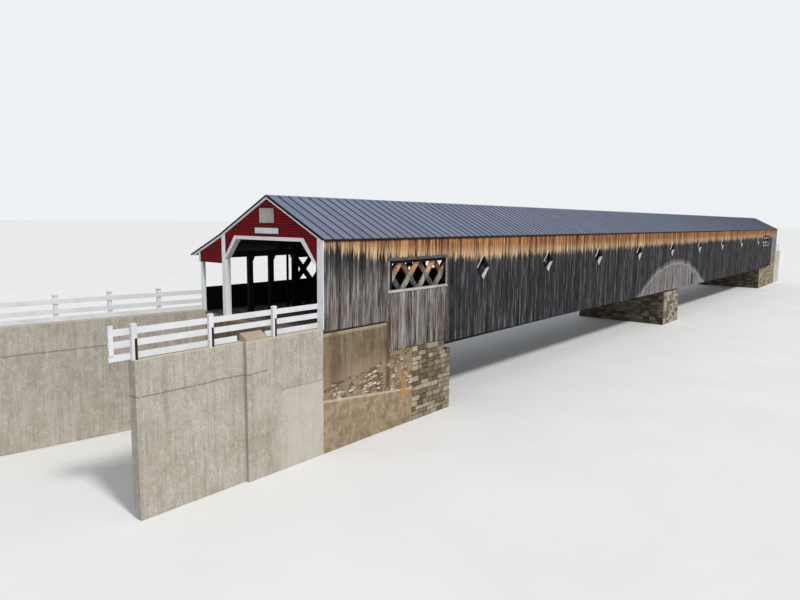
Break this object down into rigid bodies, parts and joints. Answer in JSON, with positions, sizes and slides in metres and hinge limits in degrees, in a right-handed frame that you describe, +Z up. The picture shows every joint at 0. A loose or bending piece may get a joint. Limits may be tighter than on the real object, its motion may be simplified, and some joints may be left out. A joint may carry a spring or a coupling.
{
  "type": "covered bridge, scale model at 1:10",
  "caption": "Long covered timber bridge with lattice trusses, a sidewalk under its own lean-to roof, a boarded side with windows and diamonds, on a stone pier and abutments, at 1:10.",
  "frame": {"origin": "under the middle of the road at the near portal, at the level of the pier's and abutments' feet", "axes": "+X along the bridge towards the far portal, +Y across it towards the sidewalk, +Z up"},
  "size_m": [13.1231, 1.1644, 1.184],
  "materials": {
    "concrete": "cast concrete, weathered",
    "stonework": "cut and split stone",
    "old_timber": "old dark timber",
    "deck_planks": "worn planks",
    "weathered_boards": "unpainted boards, weathered grey",
    "red_boards": "deep red paint",
    "rusty_steel": "rusty steel",
    "white_paint": "white paint",
    "roof_metal": "blue-grey standing seam"
  },
  "bodies": {
    "root": {"near_abutment": "concrete", "near_wing_wall": "concrete", "sidewalk_wing_wall": "concrete", "far_seat_wall": "concrete", "far_wing_walls": "concrete", "near_stone_abutment": "stonework", "river_pier": "stonework", "far_stone_abutment": "stonework", "near_truss_rising_planks": "old_timber", "near_truss_falling_planks": "old_timber", "sidewalk_truss_rising_planks": "old_timber", "sidewalk_truss_falling_planks": "old_timber", "near_truss_chords": "old_timber", "sidewalk_truss_chords": "old_timber", "truss_end_posts": "old_timber", "bed_timbers": "old_timber", "floor_beams": "old_timber", "stringers": "old_timber", "guard_rails": "old_timber", "tie_beams": "old_timber", "rafters": "old_timber", "sidewalk_rafters": "old_timber", "ridge_beam": "old_timber", "sidewalk_posts": "old_timber", "sidewalk_header": "old_timber", "vestibule_frames": "old_timber", "road_deck": "deck_planks", "sidewalk_deck": "deck_planks", "wall_panels": "weathered_boards", "walls_under_openings": "weathered_boards", "walls_over_openings": "weathered_boards", "near_vestibule_wall": "weathered_boards", "far_vestibule_wall": "weathered_boards", "window_frames": "weathered_boards", "sidewalk_parapet": "weathered_boards", "near_gable": "red_boards", "far_gable": "red_boards", "fence_steel_posts": "rusty_steel", "near_portal_posts": "white_paint", "far_portal_posts": "white_paint", "near_portal_trim": "white_paint", "far_portal_trim": "white_paint", "near_fence": "white_paint", "sidewalk_fence": "white_paint", "far_fences": "white_paint", "river_side_roof": "roof_metal", "sidewalk_side_roof": "roof_metal", "sidewalk_roof": "roof_metal", "ridge_cap": "roof_metal"}
  },
  "joints": []
}
